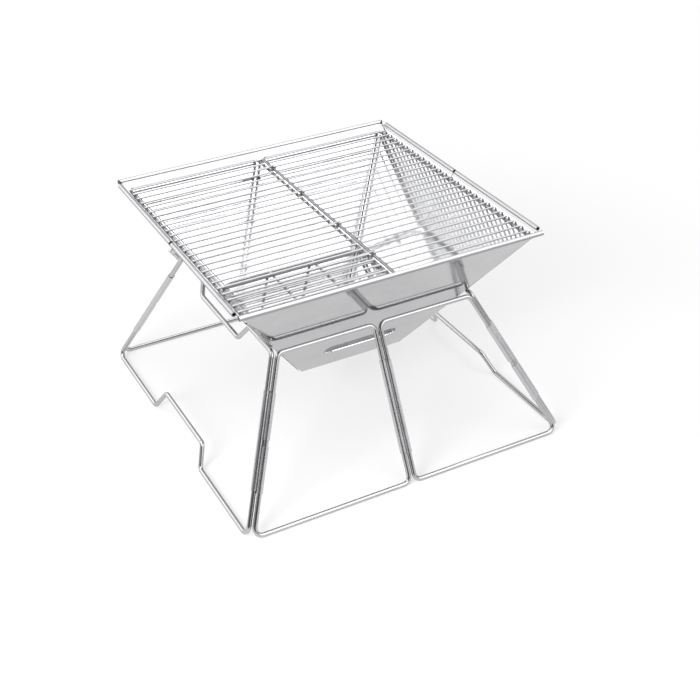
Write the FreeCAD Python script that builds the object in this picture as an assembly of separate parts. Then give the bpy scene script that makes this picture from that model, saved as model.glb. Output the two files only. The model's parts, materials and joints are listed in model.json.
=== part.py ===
import FreeCAD, Part

import math
import os

from FreeCAD import Vector

# Folding camp grill: a stand of six hinged wire loops carries a folding sheet-steel fire pan,
# which holds a loose bottom plate, a charcoal grate and a two-leaf cooking grate.
# Millimetres. The origin is on the ground, at the middle of the footprint. +Z is up, -Y is the front.

# ---- driving dimensions: stand ----
WIRE_D = 4.8                # round bar of the six loops
FOOT_HALF_X = 171.0         # wire centres on the ground, left and right
WAIST_HALF_X = 106.2        # wire centres of the left and right waist bars, which carry the pan
WAIST_EXTRA_Y = 5.59        # the front and back waist bars stand this much further out
WAIST_Z = 143.5             # height of all the waist bars
LOOP_BEND_R = 7.0           # bends at the corners of the loops
KINK_BEND_R = 6.0           # bends of the kinks in the side loops
FOOT_KINK_BASE = 62.0       # raised kink in the ground bar: half width at the ground
FOOT_KINK_TOP = 49.0        # its half width at the top
FOOT_KINK_RISE = 22.0       # its height along the loop's plane
WAIST_KINK_TOP = 57.0       # hanging kink in the waist bar: half width at the bar
WAIST_KINK_LOW = 45.0       # its half width at the bottom
WAIST_KINK_DROP = 18.0      # its depth along the loop's plane

# ---- driving dimensions: hinge sleeves of the stand ----
SLEEVE_WALL = 0.65
SLEEVE_PITCH = 5.6          # distance between the two wires that a sleeve holds
SLEEVE_LENGTH = 92.0
SLEEVE_DROP = 81.0          # from the waist bar down to the middle of a sleeve, along the leg
SLEEVE_STAGGER = 1.5        # one tube sits this much lower than the other
CORNER_SLEEVE_GAP = 6.0     # between the two halves of the cut tube of a corner sleeve
MIDDLE_SLEEVE_GAP = 0.5     # the same in a middle sleeve
RUNNING_CLEARANCE = 0.08    # radial, between a shaft and the bore that turns on it
OPEN_SPREAD = 1.9           # the open pivot's two wires stand this much further apart
OPEN_PLAY = 1.5             # its wire can shift this far to each side in a long bore
OPEN_CLEARANCE = 0.5        # radial, round the open pivot's wire

# ---- driving dimensions: fire pan ----
SHEET = 0.8
RIM_Z = 220.0               # top of the rolled bead
PAN_BOTTOM_Z = 76.0
WALL_LEAN = 33.94           # degrees from vertical
BAR_GAP = 0.3               # between the walls and the side waist bars that carry the pan
BEAD_R = 2.4
BEAD_BORE_R = 1.6
BEAD_OUT = 1.0              # the bead's middle stands this far outside the wall's outer face
BEAD_SINK = 0.1             # how far the sheet runs into the bead
BEAD_CORNER_GAP = 8.0       # side beads stop short of the corners
SEAM_HALF_GAP = 0.6         # half the gap between the two halves of a side wall
BEAD_SEAM_GAP = 1.75        # half the gap between their beads
KNUCKLE_R = 2.6             # corner hinges, rolled inside
CORNER_PIN_R = 1.2
KNUCKLE_RISE = 9.5          # from the walls' lower edge up to the corner hinges
KNUCKLE_DROP = 15.0         # from the rim down to the corner hinges
KNUCKLE_COUNT = 9
KNUCKLE_GAP = 0.4           # between neighbouring knuckles
KNUCKLE_RELIEF = 0.25       # between a knuckle and the other leaf's edge
PIN_HEAD_T = 0.8
PIN_HEAD_GAP = 0.15         # between a corner pin's heads and the walls' inner faces
SEAM_AXIS_OUT = 5.4         # side seam hinges stand outside the wall by this much
SEAM_KNUCKLE_R = 2.4
SEAM_PIN_R = 1.1
SEAM_HINGE_L = 16.0         # length of one side seam hinge, three knuckles
SEAM_HINGE_DROPS = (7.6, 62.0)  # from the rim down to the tops of the two hinges of a side
SLOT_RISE = 30.0            # from the walls' lower edge up to the middle of the draught slot
SLOT_HALF_L = 39.0
SLOT_HALF_H = 6.75
PLATE_RISE = 1.0            # from the walls' lower edge up to the loose bottom plate
PLATE_RIM_H = 6.0
PLATE_GAP = 0.35            # between the plate's rim and the walls
PLATE_CORNER_CUT = 3.0      # the plate's corners are cut off for the hinges

# ---- driving dimensions: grates ----
FRAME_WIRE_R = 1.5
ROD_R = 1.0
ROD_WELD = 0.1              # how far a rod is sunk into the wire that it crosses
CHARCOAL_RISE = 37.5        # from the walls' lower edge up to the charcoal grate's frame wire
CHARCOAL_GAP = 0.98         # between that wire and the walls
CHARCOAL_BEND_R = 14.0
CHARCOAL_PITCH = 9.7
CHARCOAL_ROD_MARGIN = 10.8  # rods keep this far inside the front and back wires, clear of the bends
CROSS_WIRE_X = 25.0
COOKING_DROP = 8.4          # from the rim down to the cooking grate's frame wires
COOKING_GAP = 0.58          # between those wires and the walls
COOKING_BEND_R = 6.0
COOKING_PITCH = 11.46
COOKING_ROD_MARGIN = 6.3
LEAF_GAP_HALF = 2.8         # half the distance between the inner wires of the two leaves
ROD_NUB = 0.9               # how far a rod's end stands past the side wire
CURL_PLACES = (114.6, 45.8, -34.4, -103.1)  # the rods nearest to these get a hinge curl each
CURL_SHIFT = 2.3            # from such a rod to its curl
CURL_CLEARANCE = 0.06       # between a curl and the wire that turns in it
CURL_TAIL = 16.8            # length of a curl's straight tail
CURL_DIP = 2.0              # degrees by which the tail dips, down to the left leaf's wire
CURL_WRAP = 250.0           # degrees of wire round the hinge wire

CUT_PAST = 1.0              # how far a hole's cutter runs past the metal at each end

# ---- derived ----
WIRE_R = WIRE_D / 2
FOOT_Z = WIRE_R
WAIST_SHARE = WAIST_HALF_X / FOOT_HALF_X
FOOT_HALF_Y = (WAIST_HALF_X + WAIST_EXTRA_Y) / WAIST_SHARE
STAND_APEX_Z = FOOT_Z + (WAIST_Z - FOOT_Z) / (1 - WAIST_SHARE)
BORE_R = WIRE_R + RUNNING_CLEARANCE
TUBE_R = BORE_R + SLEEVE_WALL
LEAN = math.radians(WALL_LEAN)
PAN_APEX_Z = WAIST_Z - (WAIST_HALF_X - (WIRE_R + BAR_GAP) / math.cos(LEAN)) / math.tan(LEAN)
PAN_APEX = Vector(0, 0, PAN_APEX_Z)
KNUCKLE_LOW_Z = PAN_BOTTOM_Z + KNUCKLE_RISE
KNUCKLE_HIGH_Z = RIM_Z - KNUCKLE_DROP
SLOT_Z = PAN_BOTTOM_Z + SLOT_RISE
PLATE_Z = PAN_BOTTOM_Z + PLATE_RISE
CHARCOAL_Z = PAN_BOTTOM_Z + CHARCOAL_RISE
COOKING_Z = RIM_Z - COOKING_DROP
CORNER_TAN = math.sin(LEAN)  # half width of a wall for each unit of slope length from the apex
UP = Vector(0, 0, 1)
OUTWARD = {"front": Vector(0, -1, 0), "back": Vector(0, 1, 0),
           "left": Vector(-1, 0, 0), "right": Vector(1, 0, 0)}
SIGN_X = {"left": -1, "right": 1}
SIGN_Y = {"front": -1, "back": 1}


# ---- helpers ----
def save(name, solids):
    """Write one node: a single solid, or a group of separate ones."""
    shape = solids if isinstance(solids, Part.Shape) else Part.makeCompound(solids)
    shape.exportStep("parts/" + name + ".step")


def rounded_edges(points, radii, closed):
    """Straight runs through the points, joined by tangent arcs of the given radii."""
    count = len(points)
    entry, leave, mids = [], [], []
    for i, point in enumerate(points):
        before = points[i - 1] - point
        after = points[(i + 1) % count] - point
        if not closed and i in (0, count - 1):
            entry.append(point)
            leave.append(point)
            mids.append(None)
            continue
        before.normalize()
        after.normalize()
        half = before.getAngle(after) / 2
        reach = radii[i] / math.tan(half)
        bisector = (before + after).normalize()
        centre = point + bisector * (radii[i] / math.sin(half))
        entry.append(point + before * reach)
        leave.append(point + after * reach)
        mids.append(centre - bisector * radii[i])
    edges = []
    for i in range(count):
        if mids[i] is not None:
            edges.append(Part.Arc(entry[i], mids[i], leave[i]).toShape())
        if closed or i < count - 1:
            edges.append(Part.LineSegment(leave[i], entry[(i + 1) % count]).toShape())
    return edges


def sweep(edges, radius):
    """A round wire along tangent edges, which start with a straight run or an arc."""
    path = Part.Wire(edges)
    start = path.Edges[0].valueAt(path.Edges[0].FirstParameter)
    tangent = path.Edges[0].tangentAt(path.Edges[0].FirstParameter)
    ring = Part.Wire([Part.makeCircle(radius, start, tangent)])
    return path.makePipeShell([ring], True, False)


def wire_ring(points, radii, radius):
    """A closed bent wire. It starts in the middle of its last straight run."""
    edges = rounded_edges(points, radii, True)
    last = edges.pop()
    ends = [vertex.Point for vertex in last.Vertexes]
    if (ends[0] - edges[-1].Vertexes[-1].Point).Length > (ends[1] - edges[-1].Vertexes[-1].Point).Length:
        ends.reverse()
    middle = (ends[0] + ends[1]) * 0.5
    edges.append(Part.LineSegment(ends[0], middle).toShape())
    edges.insert(0, Part.LineSegment(middle, ends[1]).toShape())
    return sweep(edges, radius)


def rod(start, end, radius):
    return Part.makeCylinder(radius, (end - start).Length, start, end - start)


def tube(start, end, outer, inner):
    return rod(start, end, outer).cut(rod(start, end, inner))


# ---- stand: the plane of one side ----
class StandSide:
    """One leaning side of the stand. u runs level along it, v runs up it from the ground wire."""

    def __init__(self, name):
        self.out = OUTWARD[name]
        self.along = Vector(1, 0, 0) if name in ("front", "back") else Vector(0, 1, 0)
        facing_y = name in ("front", "back")
        self.foot_out = FOOT_HALF_Y if facing_y else FOOT_HALF_X
        self.foot_along = FOOT_HALF_X if facing_y else FOOT_HALF_Y
        rise = STAND_APEX_Z - FOOT_Z
        self.slope = math.hypot(self.foot_out, rise)
        self.up = (self.out * (-self.foot_out) + UP * rise) * (1 / self.slope)
        self.waist_v = self.slope * (1 - WAIST_SHARE)
        self.edge_cos = self.slope / math.hypot(self.foot_along, self.slope)

    def point(self, u, v):
        return self.out * self.foot_out + UP * FOOT_Z + self.along * u + self.up * v

    def leg_u(self, v):
        """Where the centre line of a corner leg is, at height v."""
        return self.foot_along * (1 - v / self.slope) - corner_offset() / self.edge_cos


def corner_offset():
    """How far a corner leg stands in its own plane from the stand's ideal corner line."""
    faces = []
    for foot in (FOOT_HALF_X, FOOT_HALF_Y):
        tilt = math.atan2(foot, STAND_APEX_Z - FOOT_Z)
        faces.append(math.sin(tilt))
    outer_angle = math.acos(faces[0] * faces[1])
    return SLEEVE_PITCH / 2 / math.cos(outer_angle / 2)


def leg_line(side_name, corner_sign):
    """Ground point and upward direction of a corner leg's centre line."""
    side = StandSide(side_name)
    low = side.point(corner_sign * side.leg_u(0), 0)
    high = side.point(corner_sign * side.leg_u(side.waist_v), side.waist_v)
    return low, (high - low).normalize()


def mid_leg_u(side_name, half_sign):
    """Where the centre line of a middle leg is. The back right one is the open pivot's."""
    spread = OPEN_SPREAD if (side_name, half_sign) == ("back", 1) else 0
    return half_sign * (SLEEVE_PITCH / 2 + spread)


def mid_leg_line(side_name, half_sign):
    """Ground point and upward direction of a leg in the middle of the front or back."""
    side = StandSide(side_name)
    return side.point(mid_leg_u(side_name, half_sign), 0), Vector(side.up)


def side_loop(name):
    """The left or right loop, with a raised kink at the ground and a hanging one at the waist."""
    side = StandSide(name)
    top = side.waist_v
    foot_u = side.leg_u(0)
    waist_u = side.leg_u(top)
    corners = [(-waist_u, top), (-foot_u, 0)]
    foot_kink = [(-FOOT_KINK_BASE, 0), (-FOOT_KINK_TOP, FOOT_KINK_RISE),
                 (FOOT_KINK_TOP, FOOT_KINK_RISE), (FOOT_KINK_BASE, 0)]
    far_corners = [(foot_u, 0), (waist_u, top)]
    waist_kink = [(WAIST_KINK_TOP, top), (WAIST_KINK_LOW, top - WAIST_KINK_DROP),
                  (-WAIST_KINK_LOW, top - WAIST_KINK_DROP), (-WAIST_KINK_TOP, top)]
    outline = corners + foot_kink + far_corners + waist_kink
    radii = [LOOP_BEND_R] * 2 + [KINK_BEND_R] * 4 + [LOOP_BEND_R] * 2 + [KINK_BEND_R] * 4
    return wire_ring([side.point(u, v) for u, v in outline], radii, WIRE_R)


def half_loop(side_name, half_sign):
    """One of the two loops of the front or back, between a corner and the middle."""
    side = StandSide(side_name)
    top = side.waist_v
    inner_u = mid_leg_u(side_name, half_sign)
    foot_u, waist_u = half_sign * side.leg_u(0), half_sign * side.leg_u(top)
    outline = [(inner_u, 0), (foot_u, 0), (waist_u, top), (inner_u, top)]
    points = [side.point(u, v) for u, v in outline]
    return wire_ring(points, [LOOP_BEND_R] * 4, WIRE_R)


# ---- stand: hinge sleeves ----
def on_leg(line, drop):
    """The point on a leg's centre line that is the given distance below the waist bar."""
    low, direction = line
    leg_length = (WAIST_Z - FOOT_Z) / direction.z
    return low + direction * (leg_length - drop)


def long_rod(middle, direction, half, radius, play):
    """A rod about a point, drawn out to both sides by the given play."""
    start = middle - direction * half
    solid = rod(start, middle + direction * half, radius)
    if not play.Length:
        return solid
    across = direction.cross(play).normalize() * radius
    corners = [start + play + across, start + play - across, start - play - across, start - play + across]
    slab = Part.Face(Part.makePolygon(corners + corners[:1])).extrude(direction * (2 * half))
    ends = [rod(start + shift, start + shift + direction * (2 * half), radius) for shift in (play, -play)]
    return slab.fuse(ends).removeSplitter()


def sleeve(whole_line, cut_line, gap, play=0.0, clearance=RUNNING_CLEARANCE):
    """Tubes brazed side by side round two legs. The one round cut_line is in two halves."""
    half = SLEEVE_LENGTH / 2
    direction = whole_line[1]
    whole_mid = on_leg(whole_line, SLEEVE_DROP)
    cut_mid = on_leg(cut_line, SLEEVE_DROP + SLEEVE_STAGGER)
    spread = (cut_mid - whole_mid) - direction * (cut_mid - whole_mid).dot(direction)
    shift = spread.normalize() * play
    bore_r = WIRE_R + clearance
    whole = long_rod(whole_mid, direction, half, TUBE_R, Vector())
    tubes = [whole.cut(long_rod(whole_mid, direction, half, BORE_R, Vector()))]
    quarter = (half - gap / 2) / 2
    for side in (-1, 1):
        middle = cut_mid + direction * (side * (gap / 2 + quarter))
        outer = long_rod(middle, direction, quarter, bore_r + SLEEVE_WALL, shift)
        bore = long_rod(middle, direction, quarter, bore_r, shift)
        tubes.append(outer.cut([bore, whole]))
    return tubes


# ---- fire pan: its inner faces ----
def inner_half(z, gap):
    """Half the width between two planes that lean like the walls, the given gap inside them."""
    return (z - PAN_APEX_Z) * math.tan(LEAN) - (SHEET + gap) / math.cos(LEAN)


CHARCOAL_HALF = inner_half(CHARCOAL_Z, CHARCOAL_GAP + FRAME_WIRE_R)
COOKING_HALF = inner_half(COOKING_Z, COOKING_GAP + FRAME_WIRE_R)


# ---- fire pan: the plane of one wall ----
class Wall:
    """One leaning wall. u runs level, w up the outer face from the pan's apex, n outwards."""

    def __init__(self, name):
        out = OUTWARD[name]
        self.out = out
        self.along = Vector(1, 0, 0) if name in ("front", "back") else Vector(0, 1, 0)
        self.up = out * math.sin(LEAN) + UP * math.cos(LEAN)
        self.normal = out * math.cos(LEAN) - UP * math.sin(LEAN)

    def point(self, u, w, n):
        return PAN_APEX + self.along * u + self.up * w + self.normal * n

    def w_at(self, z, n=0.0):
        """Slope length at which a point n outside the face has height z."""
        return (z - PAN_APEX_Z + n * math.sin(LEAN)) / math.cos(LEAN)

    def plate(self, outline):
        """Sheet metal with the given outline of (u, w) points, outer face at n = 0."""
        ring = Part.makePolygon([self.point(u, w, 0) for u, w in outline + outline[:1]])
        return Part.Face(ring).extrude(self.normal * -SHEET)


BEAD_W = Wall("front").w_at(RIM_Z - BEAD_R, BEAD_OUT)
SHEET_TOP_W = BEAD_W - math.sqrt(BEAD_R ** 2 - (BEAD_OUT + SHEET) ** 2) + BEAD_SINK
SHEET_LOW_W = Wall("front").w_at(PAN_BOTTOM_Z)


def corner_axis(side_x, side_y):
    """Apex point and direction of a corner hinge's axis, inside the pan."""
    start = PAN_APEX + UP * (KNUCKLE_R / math.sin(LEAN))
    direction = Vector(SIGN_X[side_x] * math.tan(LEAN), SIGN_Y[side_y] * math.tan(LEAN), 1)
    return start, direction.normalize()


def seam_axis(side_x):
    """Apex point and direction of a side seam hinge's axis, outside the pan."""
    start = PAN_APEX - UP * (SEAM_AXIS_OUT / math.sin(LEAN))
    return start, (OUTWARD[side_x] * math.sin(LEAN) + UP * math.cos(LEAN))


def axis_point(axis, z):
    start, direction = axis
    return start + direction * ((z - start.z) / direction.z)


def foot_half(w):
    """Half width at slope length w at which a wall's sheet meets its corner knuckles."""
    half_turn = math.acos(math.sin(LEAN) ** 2) / 2
    return w * CORNER_TAN - KNUCKLE_R * math.tan(half_turn) * math.hypot(1, CORNER_TAN)


def knuckle_spans():
    """Heights of the two ends of each corner knuckle, from the bottom up."""
    rise = (KNUCKLE_HIGH_Z - KNUCKLE_LOW_Z) / KNUCKLE_COUNT
    return [(KNUCKLE_LOW_Z + i * rise, KNUCKLE_LOW_Z + (i + 1) * rise) for i in range(KNUCKLE_COUNT)]


def hinge_corner(sheet, side_x, side_y, first):
    """Give a sheet its own corner knuckles, and cut clearance for the other leaf's."""
    axis = corner_axis(side_x, side_y)
    for i, (low_z, high_z) in enumerate(knuckle_spans()):
        low = axis_point(axis, low_z)
        high = axis_point(axis, high_z)
        trim = axis[1] * (KNUCKLE_GAP / 2)
        if i % 2 == first:
            own = rod(low + trim, high - trim, KNUCKLE_R)
            sheet = sheet.fuse(own)
        else:
            sheet = sheet.cut(rod(low - trim, high + trim, KNUCKLE_R + KNUCKLE_RELIEF))
    start = axis_point(axis, KNUCKLE_LOW_Z - CUT_PAST)
    end = axis_point(axis, KNUCKLE_HIGH_Z + CUT_PAST)
    return sheet.cut(rod(start, end, CORNER_PIN_R + RUNNING_CLEARANCE))


def hinge_seam(sheet, side_x, side_y, spans):
    """Add the given knuckles of each side seam hinge, on straps that stand off the wall."""
    wall = Wall(side_x)
    sign = SIGN_Y[side_y]
    axis = seam_axis(side_x)
    for drop in SEAM_HINGE_DROPS:
        top_z = RIM_Z - drop
        top = axis_point(axis, top_z)
        top_w = wall.w_at(top_z, SEAM_AXIS_OUT)
        for i in spans:
            start, end = i * SEAM_HINGE_L / 3, (i + 1) * SEAM_HINGE_L / 3
            trim = KNUCKLE_GAP / 2
            knuckle = rod(top - axis[1] * (start + trim), top - axis[1] * (end - trim), SEAM_KNUCKLE_R)
            near, far = sign * (SEAM_KNUCKLE_R - SHEET), sign * SEAM_KNUCKLE_R
            outline = [(near, -SHEET), (far, -SHEET), (far, SEAM_AXIS_OUT), (near, SEAM_AXIS_OUT)]
            low_w = top_w - end + trim
            ring = [wall.point(u, low_w, n) for u, n in outline + outline[:1]]
            strap = Part.Face(Part.makePolygon(ring)).extrude(wall.up * (end - start - 2 * trim))
            sheet = sheet.fuse([knuckle, strap])
        bore_r = SEAM_PIN_R + RUNNING_CLEARANCE
        past = axis[1] * CUT_PAST
        sheet = sheet.cut(rod(top + past, top - axis[1] * SEAM_HINGE_L - past, bore_r))
    return sheet


def bead(wall, from_u, to_u):
    start, end = (wall.point(u, BEAD_W, BEAD_OUT) for u in (from_u, to_u))
    return tube(start, end, BEAD_R, BEAD_BORE_R)


def end_panel(name):
    """The whole front or back wall, with a full-width bead and corner knuckles at both edges."""
    wall = Wall(name)
    low, high = foot_half(SHEET_LOW_W), foot_half(SHEET_TOP_W)
    sheet = wall.plate([(-low, SHEET_LOW_W), (low, SHEET_LOW_W), (high, SHEET_TOP_W), (-high, SHEET_TOP_W)])
    sheet = sheet.fuse(bead(wall, -BEAD_W * CORNER_TAN, BEAD_W * CORNER_TAN))
    for side_x in ("left", "right"):
        sheet = hinge_corner(sheet, side_x, name, 0)
    if name == "front":
        sheet = sheet.cut(draught_slot(wall))
    return sheet.removeSplitter()


def draught_slot(wall):
    """The long round-ended hole low in the front wall."""
    mid_w = wall.w_at(SLOT_Z)
    straight = SLOT_HALF_L - SLOT_HALF_H
    through = wall.normal * -(SHEET + 2 * CUT_PAST)
    ends = []
    for sign in (-1, 1):
        start = wall.point(sign * straight, mid_w, CUT_PAST)
        ends.append(rod(start, start + through, SLOT_HALF_H))
    outline = [(-straight, mid_w - SLOT_HALF_H), (straight, mid_w - SLOT_HALF_H),
               (straight, mid_w + SLOT_HALF_H), (-straight, mid_w + SLOT_HALF_H)]
    ring = Part.makePolygon([wall.point(u, w, CUT_PAST) for u, w in outline + outline[:1]])
    return Part.Face(ring).extrude(through).fuse(ends)


def gusset(side_x, side_y):
    """One half of a side wall, from the middle seam to a corner."""
    wall = Wall(side_x)
    sign = SIGN_Y[side_y]
    low, high = foot_half(SHEET_LOW_W), foot_half(SHEET_TOP_W)
    outline = [(SEAM_HALF_GAP, SHEET_LOW_W), (low, SHEET_LOW_W), (high, SHEET_TOP_W),
               (SEAM_HALF_GAP, SHEET_TOP_W)]
    sheet = wall.plate([(sign * u, w) for u, w in outline])
    bead_end = BEAD_W * CORNER_TAN - BEAD_CORNER_GAP
    sheet = sheet.fuse(bead(wall, sign * BEAD_SEAM_GAP, sign * bead_end))
    sheet = hinge_corner(sheet, side_x, side_y, 1)
    if side_y == "front":
        sheet = hinge_seam(sheet, side_x, side_y, (0, 2))
    elif side_x == "left":
        sheet = hinge_seam(sheet, side_x, side_y, (1,))
    return sheet.removeSplitter()


def headed_pin(low, high, radius, head_r):
    """A pin with a flat head just past each end of its hinge."""
    direction = (high - low).normalize()
    shaft = rod(low - direction * PIN_HEAD_T, high + direction * PIN_HEAD_T, radius)
    heads = [rod(low - direction * PIN_HEAD_T, low, head_r),
             rod(high, high + direction * PIN_HEAD_T, head_r)]
    return shaft.fuse(heads).removeSplitter()


def corner_pin(side_x, side_y):
    axis = corner_axis(side_x, side_y)
    return headed_pin(axis_point(axis, KNUCKLE_LOW_Z), axis_point(axis, KNUCKLE_HIGH_Z),
                      CORNER_PIN_R, KNUCKLE_R - SHEET - PIN_HEAD_GAP)


def seam_pins(side_x):
    axis = seam_axis(side_x)
    pins = []
    for drop in SEAM_HINGE_DROPS:
        top = axis_point(axis, RIM_Z - drop)
        pins.append(headed_pin(top - axis[1] * SEAM_HINGE_L, top, SEAM_PIN_R, SEAM_KNUCKLE_R))
    return pins


def bottom_plate():
    """A loose square dish that wedges between the walls near their lower edges."""
    def square(z, gap):
        half = inner_half(z, gap)
        near = half - PLATE_CORNER_CUT
        outline = [(near, -half), (half, -near), (half, near), (near, half),
                   (-near, half), (-half, near), (-half, -near), (-near, -half)]
        return Part.makePolygon([Vector(x, y, z) for x, y in outline + outline[:1]])

    top_z = PLATE_Z + PLATE_RIM_H
    outer = Part.makeLoft([square(PLATE_Z, PLATE_GAP), square(top_z, PLATE_GAP)], True, True)
    inner_gap = PLATE_GAP + SHEET
    inner = Part.makeLoft([square(PLATE_Z + SHEET, inner_gap), square(top_z + SHEET, inner_gap)], True, True)
    return outer.cut(inner)


# ---- grates ----
def level_ring(low, high, z, bend_r):
    """A closed rectangular wire that lies level."""
    corners = [(low[0], low[1]), (high[0], low[1]), (high[0], high[1]), (low[0], high[1])]
    return wire_ring([Vector(x, y, z) for x, y in corners], [bend_r] * 4, FRAME_WIRE_R)


def rod_places(span, pitch):
    """Evenly pitched places from back to front, centred, all within the span."""
    count = 2 * int(span // pitch) + 1
    return [(count - 1) / 2 * pitch - i * pitch for i in range(count)]


ROD_RISE = FRAME_WIRE_R + ROD_R - ROD_WELD
LEAF_ROD_PLACES = rod_places(COOKING_HALF - COOKING_ROD_MARGIN, COOKING_PITCH)


def charcoal_rods():
    z = CHARCOAL_Z + ROD_RISE
    reach = CHARCOAL_HALF + ROD_NUB
    return [rod(Vector(-reach, y, z), Vector(reach, y, z), ROD_R)
            for y in rod_places(CHARCOAL_HALF - CHARCOAL_ROD_MARGIN, CHARCOAL_PITCH)]


def charcoal_cross_wires():
    reach = CHARCOAL_HALF - FRAME_WIRE_R + ROD_WELD
    return [rod(Vector(x, -reach, CHARCOAL_Z), Vector(x, reach, CHARCOAL_Z), FRAME_WIRE_R)
            for x in (-CROSS_WIRE_X, CROSS_WIRE_X)]


def leaf_frame(sign):
    xs = sorted((sign * LEAF_GAP_HALF, sign * COOKING_HALF))
    return level_ring((xs[0], -COOKING_HALF), (xs[1], COOKING_HALF), COOKING_Z, COOKING_BEND_R)


def leaf_rods(sign):
    z = COOKING_Z + ROD_RISE
    inner = sign * (LEAF_GAP_HALF - ROD_R / 2)
    outer = sign * (COOKING_HALF + FRAME_WIRE_R + ROD_NUB)
    return [rod(Vector(inner, y, z), Vector(outer, y, z), ROD_R)
            for y in LEAF_ROD_PLACES]


def hinge_curls():
    """Wires fixed to the left leaf's inner wire, each curled round the right leaf's."""
    curl_r = FRAME_WIRE_R + CURL_CLEARANCE + ROD_R
    curls = []
    for place in CURL_PLACES:
        y = min(LEAF_ROD_PLACES, key=lambda rod_y: abs(rod_y - place)) + CURL_SHIFT
        centre = Vector(LEAF_GAP_HALF, y, COOKING_Z)

        def around(degrees):
            turn = math.radians(90 - degrees)
            return centre + Vector(math.cos(turn), 0, math.sin(turn)) * curl_r

        dip = math.radians(CURL_DIP)
        tail_end = around(-CURL_DIP) - Vector(math.cos(dip), 0, math.sin(dip)) * CURL_TAIL
        tail = Part.LineSegment(tail_end, around(-CURL_DIP)).toShape()
        middle = around((CURL_WRAP - CURL_DIP) / 2)
        curl = Part.Arc(around(-CURL_DIP), middle, around(CURL_WRAP)).toShape()
        curls.append(sweep([tail, curl], ROD_R))
    return curls


# ---- the pieces ----
def build():
    os.makedirs("parts", exist_ok=True)
    for name in ("left", "right"):
        save(name + "_loop", side_loop(name))
    for side_y in ("front", "back"):
        for side_x in ("left", "right"):
            save(side_y + "_" + side_x + "_loop", half_loop(side_y, SIGN_X[side_x]))
            whole = leg_line(side_x, SIGN_Y[side_y])
            cut = leg_line(side_y, SIGN_X[side_x])
            save(side_y + "_" + side_x + "_sleeve", sleeve(whole, cut, CORNER_SLEEVE_GAP))
        left_leg, right_leg = mid_leg_line(side_y, -1), mid_leg_line(side_y, 1)
        fit = (OPEN_PLAY, OPEN_CLEARANCE) if side_y == "back" else (0.0, RUNNING_CLEARANCE)
        save(side_y + "_middle_sleeve", sleeve(left_leg, right_leg, MIDDLE_SLEEVE_GAP, *fit))

    for side_y in ("front", "back"):
        save("pan_" + side_y + "_panel", end_panel(side_y))
        for side_x in ("left", "right"):
            corner = side_y + "_" + side_x
            save(corner + "_gusset", gusset(side_x, side_y))
            save(corner + "_corner_pin", corner_pin(side_x, side_y))
    for side_x in ("left", "right"):
        save(side_x + "_seam_pins", seam_pins(side_x))
    save("bottom_plate", bottom_plate())

    reach = CHARCOAL_HALF
    save("charcoal_grate_frame", level_ring((-reach, -reach), (reach, reach), CHARCOAL_Z, CHARCOAL_BEND_R))
    save("charcoal_grate_cross_wires", charcoal_cross_wires())
    save("charcoal_grate_rods", charcoal_rods())
    for side_x in ("left", "right"):
        save("cooking_grate_" + side_x + "_frame", leaf_frame(SIGN_X[side_x]))
        save("cooking_grate_" + side_x + "_rods", leaf_rods(SIGN_X[side_x]))
    save("cooking_grate_hinge_curls", hinge_curls())


build()
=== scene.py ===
import json
import math

import bpy
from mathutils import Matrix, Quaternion, Vector


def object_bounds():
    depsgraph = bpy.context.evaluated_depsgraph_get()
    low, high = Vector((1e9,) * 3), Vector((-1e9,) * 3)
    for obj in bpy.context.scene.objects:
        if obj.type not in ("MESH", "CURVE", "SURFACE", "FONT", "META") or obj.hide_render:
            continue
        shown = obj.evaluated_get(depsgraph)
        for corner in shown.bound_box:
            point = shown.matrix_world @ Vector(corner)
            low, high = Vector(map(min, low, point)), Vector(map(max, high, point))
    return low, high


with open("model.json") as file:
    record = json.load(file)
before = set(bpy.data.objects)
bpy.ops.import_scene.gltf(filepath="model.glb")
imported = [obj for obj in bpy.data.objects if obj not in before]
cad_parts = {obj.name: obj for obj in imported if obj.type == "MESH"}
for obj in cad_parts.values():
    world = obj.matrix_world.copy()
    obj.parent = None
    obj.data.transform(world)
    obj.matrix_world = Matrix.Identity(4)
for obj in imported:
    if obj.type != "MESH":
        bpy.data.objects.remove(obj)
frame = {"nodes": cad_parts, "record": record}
cad_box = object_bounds()

# Folding camp grill, all of stainless steel. Metres.
LOW, HIGH = (Vector(corner) for corner in cad_box)
MIDDLE = (LOW + HIGH) / 2

# ---- camera ----
CAMERA_AZIMUTH = math.radians(-26.87)   # from the front, -Y, towards the left
CAMERA_ELEVATION = math.radians(32.84)
CAMERA_ROLL = math.radians(-1.65)
CAMERA_DISTANCE = 1.2884
CAMERA_SENSOR = 36                      # mm
CAMERA_LENS = 64.30                     # mm
CAMERA_AIM = Vector((0.0152, -0.0249, 0.0604))

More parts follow.
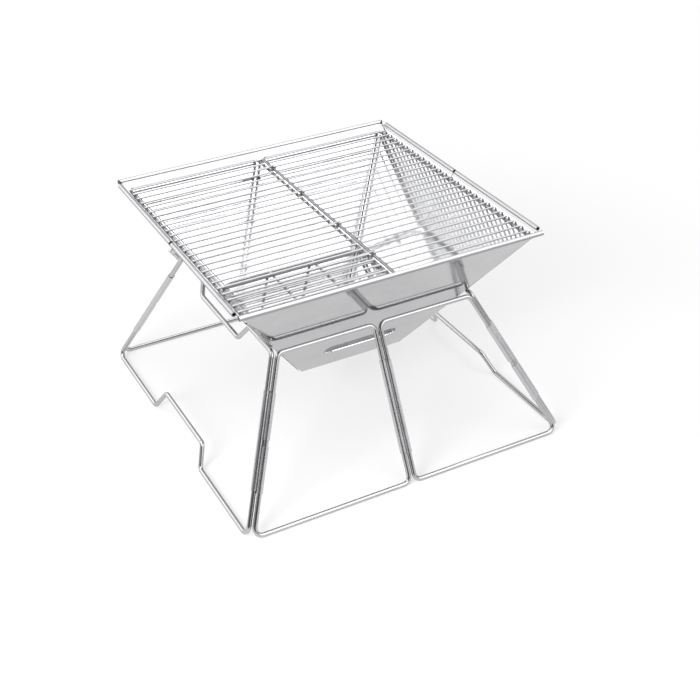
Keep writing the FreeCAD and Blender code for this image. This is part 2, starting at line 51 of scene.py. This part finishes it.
# ---- finish ----
# Tone, roughness and how far it varies, fineness of the grain and depth of its relief. stretch draws
# the grain out; the downward key dims the faces that look down with painted shade; bead is the painted
# shade that dims the rolled beads' highlight, and how much rougher they are; and the hinge key is the
# colour of the painted shade in the crevices of the corner hinges.
STEELS = {
    "pan_sheet": dict(name="polished_sheet", color=(0.80, 0.80, 0.815), roughness=0.08, spread=0.03,
                      grain=900, bump=0.03, stretch=(1, 1, 0.15), painted_downward_shade=0.66, bead=(0.70, 0.30),
                      painted_hinge_shade=(0.05, 0.05, 0.052)),
    # painted shade: the bottom plate is made dark to stand in for the shade inside the pan
    "loose_plate": dict(name="shaded_satin_plate", color=(0.32, 0.32, 0.328), roughness=0.36, spread=0.05,
                        grain=900, bump=0.03),
    "stand_wire": dict(name="bright_round_bar", color=(0.50, 0.50, 0.508), roughness=0.14,
                       spread=0.03, grain=400, bump=0.02),
    "sleeve_tube": dict(name="drawn_tube", color=(0.58, 0.58, 0.595), roughness=0.24, spread=0.05,
                        grain=500, bump=0.03, stretch=(1, 1, 0.2)),
    "hinge_pin": dict(name="bright_pin", color=(0.52, 0.52, 0.53), roughness=0.16, spread=0.05,
                      grain=500, bump=0.03),
    "grate_wire": dict(name="bright_grate_wire", color=(0.47, 0.47, 0.478), roughness=0.36,
                       spread=0.05, grain=500, bump=0.03),
    # painted shade: the grate's frame wires are a darker copy of the grate wires' steel, standing in
    # for the shade they show
    "grate_frame": dict(name="shaded_grate_frame_wire", color=(0.38, 0.38, 0.39), roughness=0.22,
                        spread=0.05, grain=500, bump=0.03),
}
OWN_STEEL = {                     # pieces whose steel isn't the one of their record slot
    "bottom_plate": "loose_plate",
    "charcoal_grate_frame": "grate_frame",
    "cooking_grate_left_frame": "grate_frame",
    "cooking_grate_right_frame": "grate_frame",
    "cooking_grate_hinge_curls": "grate_frame",
}
CLOUDS = dict(Scale=38.0, Detail=4.0, Roughness=0.55)
CLOUD_STOPS = (0.3, 0.7)          # of the clouds' noise, from dimmed to full tone
CLOUD_DIM = 0.93
GRAIN = dict(Detail=3.0, Roughness=0.6)
GRAIN_DEPTH = 0.0002
POLISH_SPAN = (0.7, 1.3)          # of both noises added, from smoothest to roughest
CORNER_HINGE = "pan_fold"         # the joint of one corner of the pan; the others mirror it
HINGE_SHADE = (0.00262, 0.0030)   # from the hinge's axis: darkest within, and none beyond
HINGE_CREASE = (0.0008, 0.0013)   # the same, from the upright plane through the corner
FACE_TURN = (0.1, 0.5)            # upward part of the normal, from the full painted shade of the downward faces to none
BEAD_BAND = (0.0052, 0.0049)      # below the rim, where the sheet passes into its rolled bead

# ---- light ----
WHITE = (1, 1, 1, 1)
MATT_WHITE = (0.8, 0.8, 0.8, 1)   # the floor, to the rays that light matt surfaces
WORLD_FILL = 0.15                 # the surroundings, to the same rays
WALL_BAND = ((0.14, 1.0), (0.22, 0.22), (0.42, 0.22), (0.54, 1.0))  # height and level in the metal
DARK_SIDE = (-27.0, 22.0)         # azimuth and elevation, degrees, of the unlit side of the studio
DARK_REACH = (22.0, 42.0)         # degrees from its middle: darkest within, and lit beyond
DARK_LEVEL = 0.10
FLOOR_TONE = 0.30                 # share of the floor's white that shadows can take away
FLOOR_GLOW = 0.62                 # level that they leave
FLOOR_CLEAR = (0.28, 0.72)        # between these radii the floor passes into plain white
FLOOR_SIZE = 40.0

# Places on Blender's Mix node, whose inputs share their names.
MIX_COLOR_A, MIX_COLOR_B, MIX_COLOR_RESULT = 6, 7, 2


class Nodes:
    """Short ways to build the nodes of one material or world."""

    def __init__(self, owner):
        owner.use_nodes = True
        self.tree = owner.node_tree
        self.tree.nodes.clear()

    def put(self, socket, value):
        """Link an output to the socket, or set a plain value on it."""
        if isinstance(value, bpy.types.NodeSocket):
            self.tree.links.new(value, socket)
        else:
            socket.default_value = value

    def add(self, kind, **values):
        """A new node. Each value goes to the input of its name, or else to that property."""
        node = self.tree.nodes.new(kind)
        for name, value in values.items():
            if name in node.inputs:
                self.put(node.inputs[name], value)
            else:
                setattr(node, name, value)
        return node

    def join(self, kind, *values, **properties):
        """A new node with these values on its first inputs."""
        node = self.add(kind, **properties)
        for socket, value in zip(node.inputs, values):
            self.put(socket, value)
        return node

    def math(self, operation, *values):
        return self.join("ShaderNodeMath", *values, operation=operation).outputs[0]

    def vector(self, operation, *values, output="Vector"):
        return self.join("ShaderNodeVectorMath", *values, operation=operation).outputs[output]

    def scaled(self, vector, factor):
        node = self.add("ShaderNodeVectorMath", operation="SCALE", Scale=factor)
        self.put(node.inputs[0], vector)
        return node.outputs["Vector"]

    def split(self, vector):
        return self.join("ShaderNodeSeparateXYZ", vector).outputs

    def ramp(self, value, start, end, low=0.0, high=1.0, smooth=True):
        """low up to start, high from end on, and in between a smooth or a straight rise."""
        node = self.add("ShaderNodeMapRange", Value=value,
                        interpolation_type="SMOOTHSTEP" if smooth else "LINEAR")
        for name, number in zip(("From Min", "From Max", "To Min", "To Max"), (start, end, low, high)):
            node.inputs[name].default_value = number
        return node.outputs["Result"]

    def mixed_number(self, share, first, second):
        return self.add("ShaderNodeMix", data_type="FLOAT", Factor=share, A=first,
                        B=second).outputs["Result"]

    def mixed_color(self, share, first, second):
        node = self.add("ShaderNodeMix", data_type="RGBA", Factor=share)
        self.put(node.inputs[MIX_COLOR_A], first)
        self.put(node.inputs[MIX_COLOR_B], second)
        return node.outputs[MIX_COLOR_RESULT]

    def mixed_shader(self, share, first, second):
        return self.join("ShaderNodeMixShader", share, first, second).outputs[0]

    def surface(self, kind, shader):
        self.add(kind, Surface=shader)


def set_stops(node, stops):
    """Give a colour ramp node these stops, each a position and a colour."""
    elements = node.color_ramp.elements
    while len(elements) < len(stops):
        elements.new(0.5)
    for element, (position, color) in zip(elements, stops):
        element.position = position
        element.color = (*color, 1)


def heading(azimuth, elevation):
    """Direction from the object, by angles in radians from the front and above the floor."""
    level = math.cos(elevation)
    return Vector((math.sin(azimuth) * level, -math.cos(azimuth) * level, math.sin(elevation)))


def seen_directly(nodes):
    """1 for camera, glossy and transmission rays, and 0 for the rays that light matt surfaces."""
    path = nodes.add("ShaderNodeLightPath").outputs
    seen = path["Is Camera Ray"]
    for name in ("Is Glossy Ray", "Is Transmission Ray"):
        seen = nodes.math("MAXIMUM", seen, path[name])
    return seen


# ---- materials ----
def corner_shade(nodes, place):
    """1 in the crevices of the four corner hinges, where shade is painted, and 0 elsewhere."""
    hinge = next(j for j in frame["record"]["behaviour"]["joints"] if j["name"] == CORNER_HINGE)
    start, axis = (Vector([abs(value) for value in hinge[key]]) for key in ("pos_m", "axis"))
    one_corner = nodes.vector("ABSOLUTE", place)
    from_start = nodes.vector("SUBTRACT", one_corner, start)
    across = nodes.vector("CROSS_PRODUCT", from_start, axis.normalized())
    shade = nodes.ramp(nodes.vector("LENGTH", across, output="Value"), *HINGE_SHADE, 1.0, 0.0)
    parts = nodes.split(one_corner)
    off_plane = nodes.math("ABSOLUTE", nodes.math("SUBTRACT", parts["X"], parts["Y"]))
    return nodes.math("MULTIPLY", shade, nodes.ramp(off_plane, *HINGE_CREASE, 1.0, 0.0))


def steel(name, color, roughness, spread, grain, bump, stretch=(1, 1, 1), painted_downward_shade=None, bead=None,
          painted_hinge_shade=None):
    """Stainless steel with fine drawn grain, faint clouding and a little uneven polish; where asked,
    painted shade dims the downward faces and rolled beads and darkens the hinge crevices.
    """
    material = bpy.data.materials.new(name)
    nodes = Nodes(material)
    place = nodes.add("ShaderNodeTexCoord").outputs
    drawn = nodes.add("ShaderNodeMapping", Scale=stretch, Vector=place["Object"])
    clouds = nodes.add("ShaderNodeTexNoise", Vector=place["Object"], **CLOUDS).outputs["Fac"]
    lines = nodes.add("ShaderNodeTexNoise", Vector=drawn.outputs["Vector"], Scale=grain,
                      **GRAIN).outputs["Fac"]

    tint = nodes.add("ShaderNodeValToRGB", Fac=clouds)
    set_stops(tint, list(zip(CLOUD_STOPS, (tuple(c * CLOUD_DIM for c in color), color))))
    tone = tint.outputs["Color"]
    both = nodes.math("ADD", clouds, lines)
    polish = nodes.ramp(both, *POLISH_SPAN, roughness - spread, roughness + spread, smooth=False)
    # painted shade: the faces that look down are dimmed
    if painted_downward_shade:
        upward = nodes.split(place["Normal"])["Z"]
        tone = nodes.scaled(tone, nodes.ramp(upward, *FACE_TURN, painted_downward_shade, 1.0))
    # painted shade: the rolled bead is dimmed against its highlight; it is also made rougher
    if bead:
        bead_painted_shade, bead_roughness = bead
        height = nodes.split(place["Object"])["Z"]
        rolled = nodes.ramp(height, *(HIGH.z - depth for depth in BEAD_BAND))
        tone = nodes.scaled(tone, nodes.ramp(rolled, 0.0, 1.0, 1.0, bead_painted_shade, smooth=False))
        polish = nodes.math("MULTIPLY_ADD", rolled, bead_roughness, polish)
    # painted shade: the crevices of the corner hinges are coloured dark
    if painted_hinge_shade:
        tone = nodes.mixed_color(corner_shade(nodes, place["Object"]), tone, (*painted_hinge_shade, 1))

    relief = nodes.add("ShaderNodeBump", Strength=bump, Distance=GRAIN_DEPTH, Height=lines)
    shader = nodes.add("ShaderNodeBsdfPrincipled", Metallic=1.0, Roughness=polish,
                       Normal=relief.outputs["Normal"])
    nodes.put(shader.inputs["Base Color"], tone)
    nodes.surface("ShaderNodeOutputMaterial", shader.outputs["BSDF"])
    return material


def dress_nodes():
    """Give every CAD node the steel of its record slot, or its own kind of it."""
    materials = {kind: steel(**look) for kind, look in STEELS.items()}
    slots = {part["node"]: part["material_slot"] for part in frame["record"]["subparts"]}
    for name, node in frame["nodes"].items():
        node.data.materials.clear()
        node.data.materials.append(materials[OWN_STEEL.get(name, slots[name])])


# ---- surroundings ----
def make_floor():
    half = FLOOR_SIZE / 2
    corners = [(x, y, LOW.z) for x, y in ((-half, -half), (half, -half), (half, half), (-half, half))]
    mesh = bpy.data.meshes.new("floor")
    mesh.from_pydata(corners, [], [(0, 1, 2, 3)])
    floor = bpy.data.objects.new("floor", mesh)
    bpy.context.scene.collection.objects.link(floor)

    material = bpy.data.materials.new("white_floor")
    nodes = Nodes(material)
    matt = nodes.add("ShaderNodeBsdfDiffuse", Color=MATT_WHITE)
    shaded = nodes.add("ShaderNodeBsdfDiffuse", Color=(FLOOR_TONE, FLOOR_TONE, FLOOR_TONE, 1))
    glow = nodes.add("ShaderNodeEmission", Color=WHITE, Strength=FLOOR_GLOW)
    near = nodes.join("ShaderNodeAddShader", shaded.outputs[0], glow.outputs[0])
    far = nodes.add("ShaderNodeEmission", Color=WHITE, Strength=1.0)
    position = nodes.add("ShaderNodeNewGeometry").outputs["Position"]
    radius = nodes.vector("LENGTH", position, output="Value")
    white = nodes.mixed_shader(nodes.ramp(radius, *FLOOR_CLEAR), near.outputs[0], far.outputs[0])
    nodes.surface("ShaderNodeOutputMaterial",
                  nodes.mixed_shader(seen_directly(nodes), matt.outputs[0], white))
    mesh.materials.append(material)


def make_world():
    """A studio that is white to the camera, and has a grey band and a dark side in the metal."""
    world = bpy.data.worlds.new("studio")
    bpy.context.scene.world = world
    nodes = Nodes(world)
    place = nodes.add("ShaderNodeTexCoord").outputs["Generated"]
    dark_side = heading(*(math.radians(angle) for angle in DARK_SIDE))
    towards = nodes.vector("DOT_PRODUCT", place, dark_side, output="Value")
    darkest, lit = (math.cos(math.radians(angle)) for angle in DARK_REACH)
    side = nodes.ramp(towards, lit, darkest, 1.0, DARK_LEVEL)
    band = nodes.add("ShaderNodeValToRGB", Fac=nodes.split(place)["Z"])
    set_stops(band, [(height, (level, level, level)) for height, level in WALL_BAND])
    in_metal = nodes.math("MINIMUM", side, band.outputs["Color"])
    camera_ray = nodes.add("ShaderNodeLightPath").outputs["Is Camera Ray"]
    mirrored = nodes.mixed_number(camera_ray, in_metal, 1.0)
    strength = nodes.mixed_number(seen_directly(nodes), WORLD_FILL, mirrored)
    background = nodes.add("ShaderNodeBackground", Color=WHITE, Strength=strength)
    nodes.surface("ShaderNodeOutputWorld", background.outputs[0])


def softbox(name, place, target, size, power, mirrored=True):
    """A rectangular lamp of some watts, which the metal shows if mirrored."""
    light = bpy.data.lights.new(name, "AREA")
    light.shape = "RECTANGLE"
    light.size, light.size_y = size
    light.energy = power
    box = bpy.data.objects.new(name, light)
    box.location = place
    box.rotation_euler = (Vector(target) - Vector(place)).to_track_quat("-Z", "Y").to_euler()
    box.visible_glossy = mirrored
    bpy.context.scene.collection.objects.link(box)


def make_lights():
    softbox("top_softbox", (-0.35, 0.05, 1.70), (-0.35, 0.05, 0.0), (2.6, 1.5), 24.5)
    softbox("front_softbox", (0.85, -1.55, 1.35), MIDDLE, (2.2, 1.5), 19.0)
    softbox("back_softbox", (-1.17, 1.67, 0.95), MIDDLE, (1.8, 1.4), 11.5)
    softbox("left_fill", (-1.3, -0.8, 0.85), MIDDLE, (0.8, 0.8), 36.0, mirrored=False)


def make_camera():
    camera = bpy.data.objects.new("camera", bpy.data.cameras.new("camera"))
    camera.data.sensor_width = CAMERA_SENSOR
    camera.data.lens = CAMERA_LENS
    back = heading(CAMERA_AZIMUTH, CAMERA_ELEVATION)
    camera.location = CAMERA_AIM + back * CAMERA_DISTANCE
    turn = (-back).to_track_quat("-Z", "Y") @ Quaternion((0, 0, 1), CAMERA_ROLL)
    camera.rotation_euler = turn.to_euler()
    bpy.context.scene.collection.objects.link(camera)
    bpy.context.scene.camera = camera


make_camera()
dress_nodes()
make_floor()
make_world()
make_lights()
bpy.context.scene.view_settings.view_transform = "Standard"
